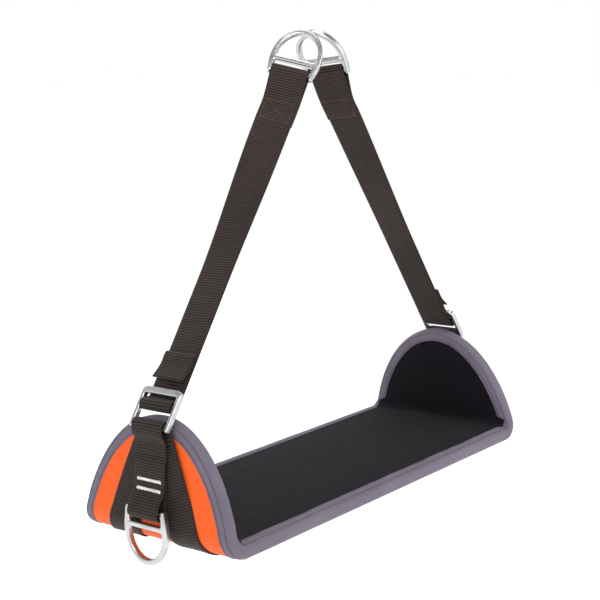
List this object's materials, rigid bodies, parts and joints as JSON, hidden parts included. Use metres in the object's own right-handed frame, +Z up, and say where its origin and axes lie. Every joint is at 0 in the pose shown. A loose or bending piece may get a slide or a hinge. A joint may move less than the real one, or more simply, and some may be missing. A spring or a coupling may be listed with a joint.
{
  "type": "suspended work seat",
  "caption": "Padded work seat with upturned wings, hung from webbing straps with adjusters that meet at D-rings, and side D-rings on the wings.",
  "frame": {"origin": "the hang point, where the arches of the two top rings bear on one hook above the middle of the seat", "axes": "+X along the seat to its right wing, +Y to its back edge, +Z up"},
  "size_m": [0.6162, 0.225, 0.5614],
  "materials": {
    "webbing": "dark brown-black polyester webbing, matt, fine cross ribs",
    "orange_fabric": "bright orange woven cover, matt",
    "seat_fabric": "black woven seat cover, matt",
    "binding": "grey-violet edge binding with two rows of stitching",
    "metal": "polished light alloy, slightly grey",
    "board": "plywood seat board",
    "foam": "closed-cell foam pad"
  },
  "bodies": {
    "seat": {"outer_cover": "orange_fabric", "seat_cover": "seat_fabric", "seat_board": "board", "seat_foam": "foam", "left_wing_foam": "foam", "right_wing_foam": "foam", "edge_binding": "binding", "rear_sling": "webbing", "front_sling": "webbing", "left_adjuster_loop": "webbing", "left_ring_tab": "webbing", "right_adjuster_loop": "webbing", "right_ring_tab": "webbing"},
    "left_side_ring": {"left_side_ring": "metal"},
    "left_adjuster": {"left_adjuster": "metal", "left_strap_wrap": "webbing", "left_strap_lower": "webbing"},
    "left_strap": {"left_strap_upper": "webbing"},
    "left_tail": {"left_strap_tail": "webbing"},
    "left_top_ring": {"left_top_ring": "metal"},
    "right_side_ring": {"right_side_ring": "metal"},
    "right_adjuster": {"right_adjuster": "metal", "right_strap_wrap": "webbing", "right_strap_lower": "webbing"},
    "right_strap": {"right_strap_upper": "webbing"},
    "right_tail": {"right_strap_tail": "webbing"},
    "right_top_ring": {"right_top_ring": "metal"}
  },
  "joints": [
    {"name": "left_strap_swing", "type": "hinge", "parent": "seat", "child": "left_adjuster", "pos_m": [-0.28829, 0, -0.40288], "axis": [0, -1, 0], "range_deg": [0, 110]},
    {"name": "left_strap_adjust", "type": "slide", "parent": "left_adjuster", "child": "left_strap", "axis": [-0.5728, 0, -0.8197], "range_m": [0, 0.1], "deforming": ["left_strap_lower"]},
    {"name": "left_tail_slide", "type": "slide", "parent": "left_adjuster", "child": "left_tail", "axis": [0.5728, 0, 0.8197], "range_m": [0, 0.1], "deforming": ["left_strap_tail"]},
    {"name": "left_top_ring_fold", "type": "hinge", "parent": "left_strap", "child": "left_top_ring", "pos_m": [-0.03626, 0, -0.04221], "axis": [0.3464, -0.9063, -0.2421], "range_deg": [0, 130]},
    {"name": "left_side_ring_swing", "type": "hinge", "parent": "seat", "child": "left_side_ring", "pos_m": [-0.3008, 0, -0.49564], "axis": [0, 1, 0], "range_deg": [-4, 120]},
    {"name": "right_strap_swing", "type": "hinge", "parent": "seat", "child": "right_adjuster", "pos_m": [0.28829, 0, -0.40288], "axis": [0, 1, 0], "range_deg": [0, 110]},
    {"name": "right_strap_adjust", "type": "slide", "parent": "right_adjuster", "child": "right_strap", "axis": [0.5728, 0, -0.8197], "range_m": [0, 0.1], "deforming": ["right_strap_lower"]},
    {"name": "right_tail_slide", "type": "slide", "parent": "right_adjuster", "child": "right_tail", "axis": [-0.5728, 0, 0.8197], "range_m": [0, 0.1], "deforming": ["right_strap_tail"]},
    {"name": "right_top_ring_fold", "type": "hinge", "parent": "right_strap", "child": "right_top_ring", "pos_m": [0.03626, 0, -0.04221], "axis": [-0.1423, 0.9848, -0.0995], "range_deg": [0, 130]},
    {"name": "right_side_ring_swing", "type": "hinge", "parent": "seat", "child": "right_side_ring", "pos_m": [0.3008, 0, -0.49564], "axis": [0, -1, 0], "range_deg": [-4, 120]}
  ],
  "couplings": [
    {"joint": "left_tail_slide", "follows": "left_strap_adjust", "ratio": 1},
    {"joint": "right_tail_slide", "follows": "right_strap_adjust", "ratio": 1}
  ]
}
